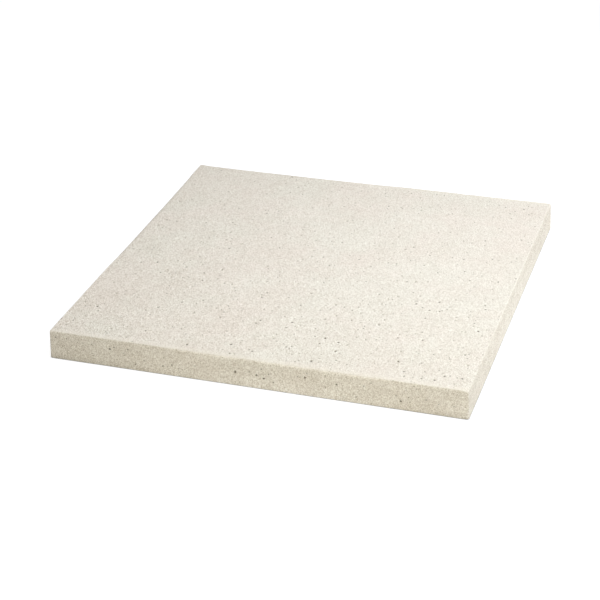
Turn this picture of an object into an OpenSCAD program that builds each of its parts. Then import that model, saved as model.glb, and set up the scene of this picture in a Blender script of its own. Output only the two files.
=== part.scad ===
// Square concrete paving slab, cast in one piece in a drafted mould.
// Sizes are in millimetres. The origin is the middle of the bedding face,
// and +Z points up through the wearing face.

/* [Slab] */
// Side of the square slab at its widest, just above the bedding face
slab_side = 450; // [300:5:900]
// Thickness from the bedding face to the wearing face
slab_thickness = 32; // [25:1:80]

/* [Edges] */
// How far each side leans in from the bedding face to the wearing face: the mould's draft
side_draft = 1.25; // [0:0.25:4]
// Radius of the upright corners, at the wearing face
corner_radius = 1.5; // [1.25:0.25:25]
// Radius of the arris round the wearing face
face_arris_radius = 1; // [0.25:0.25:1.25]
// Radius of the arris round the bedding face
bed_arris_radius = 1; // [0.25:0.25:1.25]

/* [Hidden] */
$fn = 96;

// Width of the edge strip, which is also the corners' radius at their widest
edge_width = corner_radius + side_draft;
// Half the side of the plain square core that the edge strips go round
core_half = slab_side / 2 - edge_width;

// The rounding of one arris, seen in section
module quarter_disc(radius) {
    intersection() {
        circle(radius);
        square(radius);
    }
}

// Section through the slab's edge, from the core outwards: flat above and below,
// a drafted side, and a rounded arris at its head and its foot
module edge_section() {
    foot_centre = [edge_width - bed_arris_radius, bed_arris_radius];
    head_centre = [corner_radius - face_arris_radius, slab_thickness - face_arris_radius];
    polygon([
        [0, 0],
        [foot_centre.x, 0],
        [edge_width, foot_centre.y],
        [corner_radius, head_centre.y],
        [head_centre.x, slab_thickness],
        [0, slab_thickness],
    ]);
    translate(foot_centre) mirror([0, 1]) quarter_disc(bed_arris_radius);
    translate(head_centre) quarter_disc(face_arris_radius);
}

// A quarter of the slab: its share of the core, half of two straight edges,
// and the rounded corner where the same section turns from one edge to the other
module slab_quarter() {
    cube([core_half, core_half, slab_thickness]);
    translate([core_half, core_half, 0]) {
        rotate([90, 0, 0]) linear_extrude(core_half) edge_section();
        rotate_extrude(angle = 90) edge_section();
    }
    translate([0, core_half, 0])
        rotate([90, 0, 90]) linear_extrude(core_half) edge_section();
}

// The whole slab, one casting
module paving_slab() {
    color([0.90, 0.88, 0.83])
        for (turn = [0 : 90 : 270])
            rotate([0, 0, turn]) slab_quarter();
}

paving_slab();
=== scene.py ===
import math
import random

import bmesh
import bpy
from mathutils import Matrix, Vector, noise


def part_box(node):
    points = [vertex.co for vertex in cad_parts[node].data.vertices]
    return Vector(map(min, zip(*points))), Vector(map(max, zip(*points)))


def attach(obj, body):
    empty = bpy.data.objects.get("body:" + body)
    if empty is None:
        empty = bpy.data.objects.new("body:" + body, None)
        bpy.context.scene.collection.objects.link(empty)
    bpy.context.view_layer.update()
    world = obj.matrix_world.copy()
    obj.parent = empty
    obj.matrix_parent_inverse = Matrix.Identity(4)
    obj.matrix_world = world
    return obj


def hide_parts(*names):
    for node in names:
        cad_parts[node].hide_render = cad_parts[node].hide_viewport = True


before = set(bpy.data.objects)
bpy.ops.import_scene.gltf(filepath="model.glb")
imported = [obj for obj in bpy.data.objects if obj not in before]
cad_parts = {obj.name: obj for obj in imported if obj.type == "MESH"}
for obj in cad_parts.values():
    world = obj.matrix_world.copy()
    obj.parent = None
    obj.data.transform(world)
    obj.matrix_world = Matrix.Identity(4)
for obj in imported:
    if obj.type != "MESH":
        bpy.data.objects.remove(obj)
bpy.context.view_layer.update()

# Lengths are in metres, and the frame gives the slab's outer size
MM = 0.001
slab_low, slab_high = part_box("paving_slab")
HALF_SIDE = slab_high.x
THICKNESS = slab_high.z - slab_low.z

# The edge: mould draft, upright corners and the two arrises
SIDE_DRAFT = 1.25 * MM
CORNER_RADIUS = 1.5 * MM
FACE_ARRIS = 1 * MM
BED_ARRIS = 1 * MM
EDGE_WIDTH = CORNER_RADIUS + SIDE_DRAFT
CORE_HALF = HALF_SIDE - EDGE_WIDTH
FACE_HALF = HALF_SIDE - SIDE_DRAFT

# How finely the casting is divided: cells across a face, and steps down its edge.
# The steps of the side grow towards the foot, by this power
CORE_CELLS = 174
EDGE_CELLS = 3
FACE_CELLS = CORE_CELLS + 2 * EDGE_CELLS
ARRIS_STEPS = 4
SIDE_STEPS = 12
SIDE_GROWTH = 1.2
FOOT_STEPS = 3

# What each vertex of the casting carries for the material, from 0 to 1
SURFACE_MARKS = ("side", "worn", "pore")

# Relief of the cast surface: how high its waves and its sand stand, and how long they are
WAVE_HEIGHT = 0.08 * MM
WAVE_LENGTH = 45 * MM
FACE_SAND_HEIGHT = 0.06 * MM
SIDE_SAND_HEIGHT = 0.09 * MM
SAND_LENGTH = 3.1 * MM

# Wear of the upper arris, which falls away over its reach by this power
WEAR_FALL = 2
WEAR_REACH = 3.2 * MM
WEAR_DEPTH = 0.3 * MM
WEAR_LENGTH = 7 * MM

# Chips in it, where a noise of this length rises above this level
CHIP_DEPTH = 1.2 * MM
CHIP_LENGTH = 16 * MM
CHIP_LEVEL = 0.42

# Long stretches of it that are worn deeper, by the places of their middles
STRETCH_REACH = 4.2 * MM
STRETCH_DEPTH = 1.6 * MM
STRETCH_HALF = 130 * MM
STRETCH_EVENNESS = 4
WORN_STRETCHES = ((30 * MM, -FACE_HALF), (-90 * MM, FACE_HALF), (-FACE_HALF, 60 * MM))

# The slight knock at the front right corner
KNOCKED_CORNER = Vector((FACE_HALF, -FACE_HALF, slab_high.z))
KNOCK_DEPTH = 1.5 * MM
KNOCK_REACH = 11 * MM

# Air pores: seed of the scatter, and for each surface rows of count, smallest and largest radius.
# Each row is sunk in a few sizes. Pores lie thickest at the front right, and sparsest at the back left
SCATTER_SEED = 41
FACE_PORES = ((190, 0.5 * MM, 0.8 * MM), (56, 0.8 * MM, 1.1 * MM), (14, 1.1 * MM, 1.4 * MM))
SIDE_PORES = ((56, 0.5 * MM, 0.8 * MM), (10, 0.8 * MM, 1.1 * MM))
BED_PORES = ((90, 0.6 * MM, 1.1 * MM), (30, 1.1 * MM, 1.9 * MM))
PORE_SIZES = 4
SPARSE_BACK = 0.25
SPARSE_LEFT = 0.5

# Where pores may be: how far from the edges, and how level or upright, by the normal's upward part
PORE_MARGIN = 6 * MM
LEVEL_FACING = 0.9
UPRIGHT_FACING = 0.2

# A pore's form, in shares of its radius: the collar round it, its uneven rim, its depth and its slope
PORE_COLLAR = 0.4
PORE_NARROWEST = 0.75
PORE_WIDEST = 1.2
PORE_DEPTH = 1.1
PORE_SLOPE = 0.32

# The largest pores, by place in millimetres: across and back on the wearing face,
# across and up on the front, back and up on the right side
LARGE_FACE_RADIUS = 1.5 * MM
LARGE_SIDE_RADIUS = 1.2 * MM
LARGE_FACE_PORES = (
    (193, -203), (76, -184), (211, -201), (153, -54), (207, -104), (131, -63), (-30, -199),
    (144, -186), (-75, -211), (59, -162), (15, -137), (152, -204), (186, -213), (60, -209),
)
LARGE_FRONT_PORES = ((5, 15), (12.8, 13), (-19, 15), (157, 10), (55, 20))
LARGE_RIGHT_PORES = ((-197, 21), (-29, 10))

# White, as the tint that changes nothing and as the background
WHITE = (1, 1, 1, 1)

# The concrete's finish on the wearing face, and on the sides and the bedding face
FACE_FINISH = {
    "Pale tone": (0.808, 0.774, 0.708, 1),
    "Deep tone": (0.786, 0.749, 0.681, 1),
    "Speck tone": (0.185, 0.158, 0.112, 1),
    "Cloud scale": 22.0,
    "Hue drift": 1.0,
    "Sand stretch": (1.4, 0.7, 1.0),
    "Grain contrast": 0.265,
    "Pale grains": 0.7,
}
SIDE_FINISH = {
    "Pale tone": (0.835, 0.798, 0.715, 1),
    "Deep tone": (0.768, 0.726, 0.64, 1),
    "Speck tone": (0.32, 0.28, 0.205, 1),
    "Cloud scale": 40.0,
    "Hue drift": 0.4,
    "Sand stretch": (1.4, 1.4, 1.0),
    "Grain contrast": 0.36,
    "Pale grains": 0.6,
    "Speck size": 0.31,
    "Coarseness": 1.0,
}

# The wearing face's sand stands out more to the front and the left, and its specks are larger to the right
COARSE_FRONT = 1.08
COARSE_BACK = 0.80
COARSER_LEFT = 0.24
FINER_RIGHT = 0.06
LEFT_SPECK_SIZE = 0.30
RIGHT_SPECK_SIZE = 0.33

# Soft drifts of tone: fineness of the noise, and the part of its range that is used
DRIFT_DETAIL = 5.0
DRIFT_ROUGHNESS = 0.6
DRIFT_LOW = 0.36
DRIFT_HIGH = 0.64

# Broad drifts of hue, from blush to sage
HUE_SCALE = 14.0
HUE_DETAIL = 4.0
BLUSH = (1.006, 0.987, 0.988, 1)
SAGE = (0.999, 1.010, 1.005, 1)

# Sand: grains to the metre, how strongly each part of the colour follows them, and how high they stand
SAND_SCALE = 1400.0
SAND_TINT = (0.90, 1.0, 1.14)
SAND_RISE = 0.4

# Pale grains: cells to the metre, the share of cells that hold one, and its size, blur, tone and height
PALE_GRAIN_SCALE = 430.0
PALE_GRAIN_SHARE = 0.4
PALE_GRAIN_SIZE = 0.36
PALE_GRAIN_BLUR = 0.1
PALE_GRAIN_TONE = (0.97, 0.938, 0.852, 1)
PALE_GRAIN_RISE = 0.5

# Dark specks: cells to the metre, the share of cells that hold one, and a size too small to be seen.
# A speck's dark core and the reach of its pale halo are shares of its radius
SPECK_SCALE = 230.0
SPECK_SHARE = 0.5
SPECK_SMALLEST = 0.02
SPECK_CORE = 0.6
SPECK_FAINTEST = 0.25
HALO_REACH = 2.0
HALO_SHADE = 0.08

# Painted light pales the middle of each side and painted shade darkens its ends, both most at the foot and
# the front
LIGHT_POOL_LENGTH = 500 * MM
LIGHT_POOL_SHIFT = 30 * MM
LIGHT_POOL_HEIGHT = 20 * MM
LIGHT_POOL_TINT = (0.15, 0.175, 0.215)
FRONT_LIGHT_POOL_SHARE = 0.8
BACK_LIGHT_POOL_SHARE = 0.1
SIDE_SHADE = 0.03
FOOT_SHADE = 0.125
FOOT_HEIGHT = 7 * MM
END_SHADE_FADE = 110 * MM
BACK_END_SHADE_SHARE = 0.25

# The painted contact shadow, a dark line along the foot, faint in the middle of a side and full at its ends.
# It grows between these two places, where 1 is the middle and -1 an end
FOOT_SHADOW_HEIGHT = 1.8 * MM
FOOT_SHADOW_SHARE = 0.15
FOOT_SHADOW_TONE = (0.42, 0.40, 0.34, 1)
FOOT_SHADOW_FAINTEST = 0.1
FOOT_SHADOW_START = 0.4
FOOT_SHADOW_FULL = -0.6

# Painted light pales the sides towards the back
BACK_GLOW_REACH = 45 * MM
BACK_GLOW_SHADE = 1.07

# The painted highlight on the lip of the worn stretches, below the wearing face, and its uneven lower edge
LIP_HEIGHT = 2.0 * MM
LIP_BLUR = 0.5 * MM
LIP_UNEVENNESS = 0.8 * MM
LIP_SCALE = 90.0
LIP_HIGHLIGHT = 0.06

# The painted highlight along the wearing face's front and back edges
RIM_REACH = 8 * MM
RIM_SHARE = 0.6
RIM_HIGHLIGHT_TONE = (0.885, 0.845, 0.76, 1)

# The painted shade in a pore, its share, and the values of the pore mark at which it starts and is full
PORE_SHADE_TONE = (0.09, 0.064, 0.025, 1)
PORE_SHADE_SHARE = 0.95
PORE_START = 0.06
PORE_FULL = 0.6

# Bump and shine: hollows are rougher than crests
BUMP_STRENGTH = 0.5
BUMP_DISTANCE = 0.2 * MM
HOLLOW_HEIGHT = -1.0
CREST_HEIGHT = 0.8
HOLLOW_ROUGHNESS = 0.96
CREST_ROUGHNESS = 0.82
CONCRETE_SHINE = 0.25

# Floor: its colour for light and for the camera, its own glow, and the painted contact shadow along the
# slab's foot
FLOOR_HALF = 6.0
FLOOR_BOUNCE = (0.8, 0.8, 0.8, 1)
FLOOR_SEEN = (0.38, 0.40, 0.432, 1)
FLOOR_GLOW = 0.85
CONTACT_REACH = 1.5 * MM
CONTACT_SAMPLES = 4

# Light: even light from all round, a large softbox above the right side and a warm one in front
AMBIENT = 0.367
AMBIENT_COLOUR = (1, 0.95, 0.88, 1)
KEY_PLACE = Vector((0.64, 0.05, 0.97))
KEY_AIM = Vector((0.06, 0.01, 0))
KEY_SIZE = 0.9
KEY_POWER = 3.72
KEY_SPREAD = math.radians(90)
KEY_COLOUR = (0.953, 0.972, 1)
FILL_PLACE = Vector((0.25, -0.9, 0.35))
FILL_AIM = Vector((0, 0, 0))
FILL_SIZE = 0.5
FILL_POWER = 1.64
FILL_SPREAD = math.radians(180)
FILL_COLOUR = (1, 0.924, 0.708)

# Camera: where it stands, seen from its target, and its lens and sensor in millimetres
VIEW_AZIMUTH = math.radians(18.325)
VIEW_ELEVATION = math.radians(28.225)
VIEW_ROLL = math.radians(-1.32)
VIEW_DISTANCE = 1.8616
VIEW_TARGET = Vector((-0.0102, -0.0324, 0))
LENS = 100.24
SENSOR = 36


# Objects

def add_object(name, data):
    """Adds an object to the scene."""
    thing = bpy.data.objects.new(name, data)
    bpy.context.scene.collection.objects.link(thing)
    return thing


def add_mesh_object(name, form):
    """Adds a finished form to the scene as a mesh object."""
    mesh = bpy.data.meshes.new(name)
    form.to_mesh(mesh)
    form.free()
    return add_object(name, mesh)


# The shape of the casting

def arc_points(centre, radius, first_angle, last_angle, steps):
    """Points of a section's arc, ends included; angles are in degrees from level."""
    points = []
    for step in range(steps + 1):
        angle = math.radians(first_angle + (last_angle - first_angle) * step / steps)
        points.append(centre + radius * Vector((math.cos(angle), math.sin(angle))))
    return points


def edge_section():
    """Points (reach, height) down the slab's edge, from the wearing face to the bedding face."""
    head_centre = Vector((CORNER_RADIUS - FACE_ARRIS, THICKNESS - FACE_ARRIS))
    foot_centre = Vector((EDGE_WIDTH - BED_ARRIS, BED_ARRIS))
    head = arc_points(head_centre, FACE_ARRIS, 90, 0, ARRIS_STEPS)
    foot = arc_points(foot_centre, BED_ARRIS, 0, -90, FOOT_STEPS)
    way_down = [(step / SIDE_STEPS) ** SIDE_GROWTH for step in range(1, SIDE_STEPS)]
    side = [head[-1].lerp(foot[0], share) for share in way_down]
    return head + side + foot


def gridded_block(rings):
    """A closed block whose two faces are grids of cells and whose sides are stacked rings."""
    block = bmesh.new()
    bmesh.ops.create_cube(block, size=2)
    level = [edge for edge in block.edges if edge.verts[0].co.z == edge.verts[1].co.z]
    bmesh.ops.subdivide_edges(block, edges=level, cuts=FACE_CELLS - 1, use_grid_fill=True)
    upright = [edge for edge in block.edges if edge.verts[0].co.z != edge.verts[1].co.z]
    bmesh.ops.subdivide_edges(block, edges=upright, cuts=rings - 2, use_grid_fill=True)
    for mark in SURFACE_MARKS:
        block.verts.layers.float.new(mark)
    return block


def core_and_overshoot(share):
    """Splits a place across the block, from -1 to 1, into a length in the core and a share of the edge."""
    column = share * FACE_CELLS / 2
    inside = max(-CORE_CELLS / 2, min(CORE_CELLS / 2, column))
    return inside * CORE_HALF / (CORE_CELLS / 2), (column - inside) / EDGE_CELLS


def stretch_fullness(place):
    """How far a place lies within a worn stretch: 1 at the stretch's middle and 0 past its ends."""
    nearest = min((place.xy - Vector(stretch)).length for stretch in WORN_STRETCHES)
    return max(0, 1 - (nearest / STRETCH_HALF) ** STRETCH_EVENNESS)


def shape_edges(block, section):
    """Moves the block's columns and rings to the slab's size, with round corners and arrises."""
    side_mark = block.verts.layers.float["side"]
    worn_mark = block.verts.layers.float["worn"]
    last_ring = len(section) - 1
    for vert in block.verts:
        ring = round((1 - vert.co.z) / 2 * last_ring)
        reach, height = section[ring]
        core_x, over_x = core_and_overshoot(vert.co.x)
        core_y, over_y = core_and_overshoot(vert.co.y)
        overshoot = Vector((over_x, over_y))
        if over_x and over_y:
            overshoot *= max(abs(over_x), abs(over_y)) / overshoot.length
        plan = Vector((core_x, core_y)) + reach * overshoot
        vert.co = Vector((plan.x, plan.y, slab_low.z + height))
        vert[side_mark] = min(1, ring / ARRIS_STEPS)
        vert[worn_mark] = stretch_fullness(vert.co)


def as_share(value):
    """A value from -1 to 1 as a share from 0 to 1."""
    return (1 + value) / 2


def fall(distance, reach):
    """How much of the wear is left at a distance: all at 0, and none from its reach on."""
    return max(0, 1 - distance / reach) ** WEAR_FALL


def relief(place, side):
    """How far the cast surface stands above the mould's true form: broad waves and sand."""
    sand_height = FACE_SAND_HEIGHT + (SIDE_SAND_HEIGHT - FACE_SAND_HEIGHT) * side
    return WAVE_HEIGHT * noise.noise(place / WAVE_LENGTH) + sand_height * noise.noise(place / SAND_LENGTH)


def arris_wear(place):
    """How deep the upper arris is worn at a place."""
    inward = FACE_HALF - max(abs(place.x), abs(place.y))
    offset = math.hypot(inward, slab_high.z - place.z)
    if offset >= max(WEAR_REACH, STRETCH_REACH):
        return 0
    wear = WEAR_DEPTH * as_share(noise.noise(place / WEAR_LENGTH))
    wear += CHIP_DEPTH * max(0, noise.noise(place / CHIP_LENGTH) - CHIP_LEVEL) / (1 - CHIP_LEVEL)
    stretch_wear = STRETCH_DEPTH * stretch_fullness(place)
    return wear * fall(offset, WEAR_REACH) + stretch_wear * fall(offset, STRETCH_REACH)


def weather(block):
    """Gives the casting its sandy relief, its slight waviness, its worn arris and its knocked corner."""
    side_mark = block.verts.layers.float["side"]
    block.normal_update()
    rises = [relief(vert.co, vert[side_mark]) - arris_wear(vert.co) for vert in block.verts]
    normals = [vert.normal.copy() for vert in block.verts]
    for vert, rise, normal in zip(block.verts, rises, normals):
        knock = KNOCK_DEPTH * fall((vert.co - KNOCKED_CORNER).length, KNOCK_REACH)
        vert.co += rise * normal
        vert.co.z = max(vert.co.z - knock, slab_low.z)


def patch_verts(patch):
    """The vertices of a patch of faces, each once, in a fixed order."""
    return list(dict.fromkeys(vert for face in patch for vert in face.verts))


def shrink_to_circle(centre, patch, radius, draw):
    """Draws a patch's rim in to an uneven circle round its middle vertex."""
    middle = centre.co.copy()
    for vert in patch_verts(patch):
        if vert is not centre:
            outward = (vert.co - middle).normalized()
            vert.co = middle + outward * radius * draw.uniform(PORE_NARROWEST, PORE_WIDEST)


def sink_pores(block, centres, radius, draw):
    """Sinks a small round hollow of about that radius into the surface at each chosen vertex."""
    pore_mark = block.verts.layers.float["pore"]
    patches = {centre: list(centre.link_faces) for centre in centres}
    floors = [face for patch in patches.values() for face in patch]
    bmesh.ops.inset_region(block, faces=floors, thickness=PORE_COLLAR * radius, use_even_offset=True)
    for centre, patch in patches.items():
        shrink_to_circle(centre, patch, radius, draw)
    bmesh.ops.inset_region(
        block, faces=floors, thickness=PORE_SLOPE * radius, depth=-PORE_DEPTH * radius, use_even_offset=True
    )
    for vert in patch_verts(floors):
        vert[pore_mark] = 1


def pore_spots(block):
    """The vertices that can hold a pore: those of the wearing face, of the sides and of the bedding face."""
    inner = HALF_SIDE - PORE_MARGIN
    face_spots, side_spots, bed_spots = [], [], []
    for vert in block.verts:
        within = max(abs(vert.co.x), abs(vert.co.y)) < inner
        if within and vert.normal.z > LEVEL_FACING:
            face_spots.append(vert)
        elif within and vert.normal.z < -LEVEL_FACING:
            bed_spots.append(vert)
        elif abs(vert.normal.z) < UPRIGHT_FACING and min(abs(vert.co.x), abs(vert.co.y)) < inner:
            if PORE_MARGIN < vert.co.z - slab_low.z < THICKNESS - PORE_MARGIN:
                side_spots.append(vert)
    return face_spots, side_spots, bed_spots


def take(spot, taken):
    """Takes a spot with its surroundings, if all of them are free, and says whether they were."""
    around = patch_verts(spot.link_faces)
    free = taken.isdisjoint(around)
    if free:
        taken.update(around)
    return free


def nearest_spots(spots, places, taken):
    """The spot nearest to each place, where it is free."""
    nearest = [min(spots, key=lambda spot: (spot.co - place).length_squared) for place in places]
    return [spot for spot in nearest if take(spot, taken)]


def free_spots(spots, count, taken, draw):
    """Draws that many free spots, most of them at the front right."""
    chosen = []
    while len(chosen) < count:
        spot = draw.choice(spots)
        forward = as_share(-spot.co.y / HALF_SIDE)
        rightward = as_share(spot.co.x / HALF_SIDE)
        density = SPARSE_BACK + (1 - SPARSE_BACK) * forward
        density *= SPARSE_LEFT + (1 - SPARSE_LEFT) * rightward
        if draw.random() < density and take(spot, taken):
            chosen.append(spot)
    return chosen


def scatter_pores(block):
    """Sinks the large pores at their places and scatters the small ones over all surfaces."""
    draw = random.Random(SCATTER_SEED)
    block.normal_update()
    face_spots, side_spots, bed_spots = pore_spots(block)
    face_places = [Vector((x * MM, y * MM, slab_high.z)) for x, y in LARGE_FACE_PORES]
    side_places = [Vector((x * MM, -HALF_SIDE, slab_low.z + z * MM)) for x, z in LARGE_FRONT_PORES]
    side_places += [Vector((HALF_SIDE, y * MM, slab_low.z + z * MM)) for y, z in LARGE_RIGHT_PORES]
    taken = set()
    sink_pores(block, nearest_spots(face_spots, face_places, taken), LARGE_FACE_RADIUS, draw)
    sink_pores(block, nearest_spots(side_spots, side_places, taken), LARGE_SIDE_RADIUS, draw)
    for spots, rows in ((face_spots, FACE_PORES), (side_spots, SIDE_PORES), (bed_spots, BED_PORES)):
        for count, smallest, largest in rows:
            chosen = free_spots(spots, count, taken, draw)
            for size in range(PORE_SIZES):
                radius = smallest + (largest - smallest) * size / (PORE_SIZES - 1)
                sink_pores(block, chosen[size::PORE_SIZES], radius, draw)


def cast_slab():
    """The whole casting as one mesh object."""
    section = edge_section()
    block = gridded_block(len(section))
    shape_edges(block, section)
    bmesh.ops.recalc_face_normals(block, faces=block.faces)
    weather(block)
    scatter_pores(block)
    for face in block.faces:
        face.smooth = True
    return add_mesh_object("cast_slab", block)


# Nodes

def set_inputs(tree, node, inputs):
    """Feeds a node's inputs with plain values or with the sockets given."""
    for name, value in inputs.items():
        socket = node.inputs[name]
        if isinstance(value, bpy.types.NodeSocket):
            tree.links.new(value, socket)
        else:
            socket.default_value = value


def add_node(tree, kind, inputs=None, **settings):
    """Adds a node with its settings and inputs."""
    node = tree.nodes.new(kind)
    for name, value in settings.items():
        setattr(node, name, value)
    set_inputs(tree, node, inputs or {})
    return node


def calculate(tree, operation, first, second=0.0):
    """The result of one sum on two values."""
    return add_node(tree, "ShaderNodeMath", {0: first, 1: second}, operation=operation).outputs[0]


def product(tree, value, *others):
    """A value multiplied by all the others."""
    for other in others:
        value = calculate(tree, "MULTIPLY", value, other)
    return value


def remap(tree, value, low, high, new_low=0.0, new_high=1.0):
    """A value's range from low to high, spread over a new range and held at its ends."""
    inputs = {"Value": value, "From Min": low, "From Max": high, "To Min": new_low, "To Max": new_high}
    return add_node(tree, "ShaderNodeMapRange", inputs).outputs["Result"]


def mix(tree, share, first, second, kind="RGBA"):
    """Two colours, or two values of kind FLOAT, mixed by a share from 0 to 1."""
    node = add_node(tree, "ShaderNodeMix", data_type=kind)
    ending = "Color" if kind == "RGBA" else "Float"
    wanted = {"Factor_Float": share, "A_" + ending: first, "B_" + ending: second}
    places = {socket.identifier: index for index, socket in enumerate(node.inputs)}
    set_inputs(tree, node, {places[name]: value for name, value in wanted.items()})
    return next(socket for socket in node.outputs if socket.identifier == "Result_" + ending)


def shaded(tree, colour, shade):
    """A colour or a place multiplied by a value, or part by part by three."""
    return add_node(tree, "ShaderNodeVectorMath", {0: colour, 1: shade}, operation="MULTIPLY").outputs[0]


def lightened(tree, colour, share, tint=(1, 1, 1)):
    """A colour made paler by a share of a tint, or deeper where the share is below 0."""
    inputs = {0: tint, 1: share, 2: (1, 1, 1)}
    shade = add_node(tree, "ShaderNodeVectorMath", inputs, operation="MULTIPLY_ADD").outputs[0]
    return shaded(tree, colour, shade)


def drift(tree, place, scale, detail=DRIFT_DETAIL):
    """Soft noise from 0 to 1 that drifts over the surface."""
    inputs = {"Vector": place, "Scale": scale, "Detail": detail, "Roughness": DRIFT_ROUGHNESS}
    return remap(tree, add_node(tree, "ShaderNodeTexNoise", inputs).outputs[0], DRIFT_LOW, DRIFT_HIGH)


def grains(tree, place, scale):
    """Scattered grains: the distance from each one's middle, and two random values for each."""
    cells = add_node(tree, "ShaderNodeTexVoronoi", {"Vector": place, "Scale": scale}).outputs
    draws = add_node(tree, "ShaderNodeSeparateColor", {"Color": cells["Color"]}).outputs
    return {"distance": cells["Distance"], "first draw": draws[0], "second draw": draws[1]}


def surface_mark(tree, name):
    """One of the values that the casting's vertices carry."""
    return add_node(tree, "ShaderNodeAttribute", attribute_name=name).outputs["Fac"]


def seen_directly(tree):
    """1 for rays that the camera, a reflection or a clear material sends, and 0 for light."""
    path = add_node(tree, "ShaderNodeLightPath").outputs
    mirrored = calculate(tree, "MAXIMUM", path["Is Glossy Ray"], path["Is Transmission Ray"])
    return calculate(tree, "MAXIMUM", path["Is Camera Ray"], mirrored)


def new_group(name, inputs, outputs):
    """An empty shader node group with named sockets, and its two ends."""
    group = bpy.data.node_groups.new(name, "ShaderNodeTree")
    for socket_name, kind in inputs:
        group.interface.new_socket(socket_name, in_out="INPUT", socket_type=kind)
    for socket_name, kind in outputs:
        group.interface.new_socket(socket_name, in_out="OUTPUT", socket_type=kind)
    return group, group.nodes.new("NodeGroupInput").outputs, group.nodes.new("NodeGroupOutput").inputs


def new_material(name):
    """A material with an empty node tree."""
    material = bpy.data.materials.new(name)
    material.use_nodes = True
    material.node_tree.nodes.clear()
    return material


def add_surface(tree, inputs):
    """Gives a material its shader."""
    shader = add_node(tree, "ShaderNodeBsdfPrincipled", inputs)
    add_node(tree, "ShaderNodeOutputMaterial", {"Surface": shader.outputs[0]})


# The concrete finish, which the wearing face and the other surfaces share

def drifting_tone(group, given):
    """The ground colour: clouds between a deep and a pale tone, and broad drifts of hue."""
    place = given["Place"]
    tone = mix(group, drift(group, place, given["Cloud scale"]), given["Deep tone"], given["Pale tone"])
    hue = mix(group, drift(group, place, HUE_SCALE, HUE_DETAIL), BLUSH, SAGE)
    return shaded(group, tone, mix(group, given["Hue drift"], WHITE, hue))


def add_sand(group, given, colour):
    """Makes each grain of sand paler or deeper, and gives the sand's height."""
    cells = grains(group, shaded(group, given["Place"], given["Sand stretch"]), SAND_SCALE)
    sand = remap(group, cells["first draw"], 0, 1, -1, 1)
    contrast = product(group, given["Grain contrast"], given["Coarseness"], sand)
    return lightened(group, colour, contrast, SAND_TINT), product(group, sand, SAND_RISE)


def add_pale_grains(group, given, colour):
    """Scatters pale grains over the sand, and gives their height."""
    cells = grains(group, given["Place"], PALE_GRAIN_SCALE)
    reach = product(group, remap(group, cells["first draw"], 1 - PALE_GRAIN_SHARE, 1), PALE_GRAIN_SIZE)
    pale = remap(group, calculate(group, "SUBTRACT", reach, cells["distance"]), 0, PALE_GRAIN_BLUR)
    share = product(group, pale, given["Coarseness"], given["Pale grains"])
    return mix(group, share, colour, PALE_GRAIN_TONE), product(group, pale, PALE_GRAIN_RISE)


def add_dark_specks(group, given, colour):
    """Scatters dark specks of many sizes and strengths, each in a pale halo, and gives their depth."""
    cells = grains(group, given["Place"], SPECK_SCALE)
    size = product(group, given["Speck size"], remap(group, cells["first draw"], 1 - SPECK_SHARE, 1))
    size = calculate(group, "MAXIMUM", size, SPECK_SMALLEST)
    offset = calculate(group, "DIVIDE", cells["distance"], size)
    strength = remap(group, cells["second draw"], 0, 1, SPECK_FAINTEST, 1)
    halo = product(group, remap(group, offset, HALO_REACH, 1), strength, HALO_SHADE)
    speck = remap(group, offset, 1, SPECK_CORE)
    colour = lightened(group, colour, halo)
    return mix(group, product(group, speck, strength), colour, given["Speck tone"]), speck


def concrete_finish_group():
    """Sandy concrete as a colour and a height: drifting tones, sand, pale grains and dark specks."""
    group, given, result = new_group(
        "concrete_finish",
        (
            ("Place", "NodeSocketVector"),
            ("Pale tone", "NodeSocketColor"),
            ("Deep tone", "NodeSocketColor"),
            ("Speck tone", "NodeSocketColor"),
            ("Cloud scale", "NodeSocketFloat"),
            ("Hue drift", "NodeSocketFloat"),
            ("Sand stretch", "NodeSocketVector"),
            ("Grain contrast", "NodeSocketFloat"),
            ("Pale grains", "NodeSocketFloat"),
            ("Speck size", "NodeSocketFloat"),
            ("Coarseness", "NodeSocketFloat"),
        ),
        (("Colour", "NodeSocketColor"), ("Height", "NodeSocketFloat")),
    )
    colour = drifting_tone(group, given)
    colour, sand_height = add_sand(group, given, colour)
    colour, grain_height = add_pale_grains(group, given, colour)
    colour, speck_depth = add_dark_specks(group, given, colour)
    height = calculate(group, "ADD", sand_height, grain_height)
    height = calculate(group, "SUBTRACT", height, speck_depth)
    group.links.new(colour, result["Colour"])
    group.links.new(height, result["Height"])
    return group


def place_finish(tree, finish, inputs):
    """One use of the concrete finish, with its own values."""
    node = add_node(tree, "ShaderNodeGroup", node_tree=finish)
    set_inputs(tree, node, inputs)
    return node.outputs["Colour"], node.outputs["Height"]


# Materials

def painted_rim_highlight(tree, across, colour):
    """Paints a highlight on the wearing face along its front and back edges."""
    outward = calculate(tree, "ABSOLUTE", across["Y"])
    # Painted highlight along the front and back edges
    rim = remap(tree, outward, FACE_HALF - RIM_REACH, FACE_HALF, 0, RIM_SHARE)
    return mix(tree, rim, colour, RIM_HIGHLIGHT_TONE)


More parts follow.
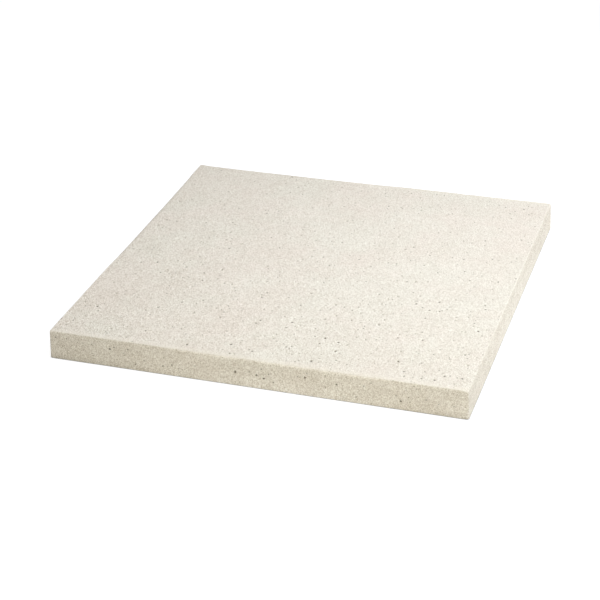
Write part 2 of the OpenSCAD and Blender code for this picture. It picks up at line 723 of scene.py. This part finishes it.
def painted_side_light_and_shade(tree, across, colour):
    """Paints light that pales the middle of a side and shade that darkens its ends, most of all along the
    foot, and a painted shadow line along the foot.
    """
    reach_x = calculate(tree, "ABSOLUTE", calculate(tree, "SUBTRACT", across["X"], LIGHT_POOL_SHIFT))
    reach_y = calculate(tree, "ABSOLUTE", calculate(tree, "SUBTRACT", across["Y"], LIGHT_POOL_SHIFT))
    along = calculate(tree, "MINIMUM", reach_x, reach_y)
    middle = calculate(tree, "COSINE", product(tree, along, 2 * math.pi / LIGHT_POOL_LENGTH))
    height = calculate(tree, "SUBTRACT", across["Z"], slab_low.z)

    # Painted shade darkens the ends of each side, most at the foot and the front
    end_shade_share = remap(tree, across["Y"], -HALF_SIDE, -HALF_SIDE + END_SHADE_FADE, 1, BACK_END_SHADE_SHARE)
    foot_shade = remap(tree, height, 0, FOOT_HEIGHT, SIDE_SHADE + FOOT_SHADE, SIDE_SHADE)
    ends = calculate(tree, "MINIMUM", middle, 0)
    colour = lightened(tree, colour, product(tree, ends, end_shade_share, foot_shade))

    # Painted light pales the middle of each side near its foot, most at the front
    most_light_pool = remap(tree, across["Y"], -HALF_SIDE, 0, FRONT_LIGHT_POOL_SHARE, BACK_LIGHT_POOL_SHARE)
    light_pool = product(tree, remap(tree, middle, 0, 1), remap(tree, height, 0, LIGHT_POOL_HEIGHT, most_light_pool, 0))
    colour = lightened(tree, colour, light_pool, LIGHT_POOL_TINT)

    # Painted contact shadow: a dark line along the foot
    foot_shadow = remap(tree, height, 0, FOOT_SHADOW_HEIGHT, FOOT_SHADOW_SHARE, 0)
    foot_shadow_strength = remap(tree, middle, FOOT_SHADOW_START, FOOT_SHADOW_FULL, FOOT_SHADOW_FAINTEST, 1)
    return mix(tree, product(tree, foot_shadow, foot_shadow_strength), colour, FOOT_SHADOW_TONE)


def painted_lip_highlight(tree, place, across, colour):
    """Paints a highlight on the worn stretches of the upper arris, down to an uneven lower edge."""
    lowest = LIP_HEIGHT + LIP_UNEVENNESS
    depth = calculate(tree, "SUBTRACT", slab_high.z, across["Z"])
    depth = calculate(tree, "ADD", depth, product(tree, drift(tree, place, LIP_SCALE), LIP_UNEVENNESS))
    # Painted highlight on the worn lip
    lip_highlight = remap(tree, depth, lowest + LIP_BLUR, lowest, 0, LIP_HIGHLIGHT)
    return lightened(tree, colour, product(tree, lip_highlight, surface_mark(tree, "worn")))


def face_concrete(tree, finish, place, across):
    """The colour and the height of the wearing face."""
    front_to_back = remap(tree, across["Y"], -HALF_SIDE, HALF_SIDE, COARSE_FRONT, COARSE_BACK)
    left_to_right = remap(tree, across["X"], -HALF_SIDE, HALF_SIDE, COARSER_LEFT, -FINER_RIGHT)
    varied = {
        "Place": place,
        "Coarseness": calculate(tree, "ADD", front_to_back, left_to_right),
        "Speck size": remap(tree, across["X"], -HALF_SIDE, HALF_SIDE, LEFT_SPECK_SIZE, RIGHT_SPECK_SIZE),
    }
    colour, height = place_finish(tree, finish, {**varied, **FACE_FINISH})
    return painted_rim_highlight(tree, across, colour), height


def side_concrete(tree, finish, place, across):
    """The colour and the height of the sides and the bedding face, with painted light and shade."""
    colour, height = place_finish(tree, finish, {"Place": place, **SIDE_FINISH})
    colour = painted_side_light_and_shade(tree, across, colour)
    colour = painted_lip_highlight(tree, place, across, colour)
    # Painted light: the sides grow paler towards the back
    back_glow = remap(tree, across["Y"], HALF_SIDE - BACK_GLOW_REACH, HALF_SIDE, 1, BACK_GLOW_SHADE)
    return shaded(tree, colour, back_glow), height


def concrete_material():
    """Cream concrete: one cast stone all over, with a painted highlight on its rim, painted light and shade
    on the sides, and dark pores of painted shade.
    """
    material = new_material("cream_concrete")
    tree = material.node_tree
    finish = concrete_finish_group()
    place = add_node(tree, "ShaderNodeTexCoord").outputs["Object"]
    across = add_node(tree, "ShaderNodeSeparateXYZ", {"Vector": place}).outputs
    face_colour, face_height = face_concrete(tree, finish, place, across)
    side_colour, side_height = side_concrete(tree, finish, place, across)
    side_mark = surface_mark(tree, "side")
    colour = mix(tree, side_mark, face_colour, side_colour)
    height = mix(tree, side_mark, face_height, side_height, "FLOAT")
    # Painted shade darkens the pores from their rim to their floor
    pore = remap(tree, surface_mark(tree, "pore"), PORE_START, PORE_FULL, 0, PORE_SHADE_SHARE)
    bump_inputs = {"Height": height, "Strength": BUMP_STRENGTH, "Distance": BUMP_DISTANCE}
    add_surface(tree, {
        "Base Color": mix(tree, pore, colour, PORE_SHADE_TONE),
        "Roughness": remap(tree, height, HOLLOW_HEIGHT, CREST_HEIGHT, HOLLOW_ROUGHNESS, CREST_ROUGHNESS),
        "Specular IOR Level": CONCRETE_SHINE,
        "Normal": add_node(tree, "ShaderNodeBump", bump_inputs).outputs[0],
    })
    return material


def floor_material():
    """Plain white floor that shows white, takes the slab's shadow and has a painted contact shadow along its
    foot.
    """
    material = new_material("white_floor")
    tree = material.node_tree
    seen = seen_directly(tree)
    contact_inputs = {"Distance": CONTACT_REACH}
    # Painted contact shadow: ambient occlusion dims the floor's glow along the slab's foot
    painted_contact_shadow = add_node(tree, "ShaderNodeAmbientOcclusion", contact_inputs, samples=CONTACT_SAMPLES)
    add_surface(tree, {
        "Base Color": mix(tree, seen, FLOOR_BOUNCE, FLOOR_SEEN),
        "Roughness": 1.0,
        "Specular IOR Level": 0.0,
        "Emission Color": WHITE,
        "Emission Strength": product(tree, painted_contact_shadow.outputs["AO"], FLOOR_GLOW, seen),
    })
    return material


# Studio: floor, light and camera

def add_floor():
    """A wide plain floor under the slab."""
    sheet = bmesh.new()
    bmesh.ops.create_grid(sheet, x_segments=1, y_segments=1, size=FLOOR_HALF)
    bmesh.ops.translate(sheet, verts=sheet.verts, vec=(0, 0, slab_low.z))
    floor = add_mesh_object("floor", sheet)
    floor.data.materials.append(floor_material())


def add_world():
    """Even, slightly warm light from all round, on a white background."""
    world = bpy.data.worlds.new("studio")
    world.use_nodes = True
    tree = world.node_tree
    tree.nodes.clear()
    seen = seen_directly(tree)
    strength = remap(tree, seen, 0, 1, AMBIENT, 1)
    colour = mix(tree, seen, AMBIENT_COLOUR, WHITE)
    background = add_node(tree, "ShaderNodeBackground", {"Color": colour, "Strength": strength})
    add_node(tree, "ShaderNodeOutputWorld", {"Surface": background.outputs[0]})
    bpy.context.scene.world = world


def add_softbox(name, place, aim, size, power, spread, colour):
    """A square soft light at a place, with a beam that is aimed at the slab."""
    light = bpy.data.lights.new(name, "AREA")
    light.size = size
    light.energy = power
    light.spread = spread
    light.color = colour
    softbox = add_object(name, light)
    softbox.location = place
    softbox.rotation_euler = (aim - place).to_track_quat("-Z", "Y").to_euler()


def add_camera():
    """A camera that looks down on the slab from the front, a little to the right."""
    level = math.cos(VIEW_ELEVATION)
    back = Vector((
        math.sin(VIEW_AZIMUTH) * level,
        -math.cos(VIEW_AZIMUTH) * level,
        math.sin(VIEW_ELEVATION),
    ))
    right = Vector((math.cos(VIEW_AZIMUTH), math.sin(VIEW_AZIMUTH), 0))
    rolled_right = math.cos(VIEW_ROLL) * right + math.sin(VIEW_ROLL) * back.cross(right)
    rolled_up = back.cross(rolled_right)
    turn = Matrix((rolled_right, rolled_up, back)).transposed()
    lens = bpy.data.cameras.new("camera")
    lens.lens = LENS
    lens.sensor_width = SENSOR
    camera = add_object("camera", lens)
    camera.matrix_world = Matrix.Translation(VIEW_TARGET + back * VIEW_DISTANCE) @ turn.to_4x4()
    bpy.context.scene.camera = camera


# The scene

add_camera()
slab = cast_slab()
slab.data.materials.append(concrete_material())
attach(slab, "root")
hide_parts("paving_slab")
add_floor()
add_world()
add_softbox("key", KEY_PLACE, KEY_AIM, KEY_SIZE, KEY_POWER, KEY_SPREAD, KEY_COLOUR)
add_softbox("warm_fill", FILL_PLACE, FILL_AIM, FILL_SIZE, FILL_POWER, FILL_SPREAD, FILL_COLOUR)
bpy.context.scene.view_settings.view_transform = "Standard"
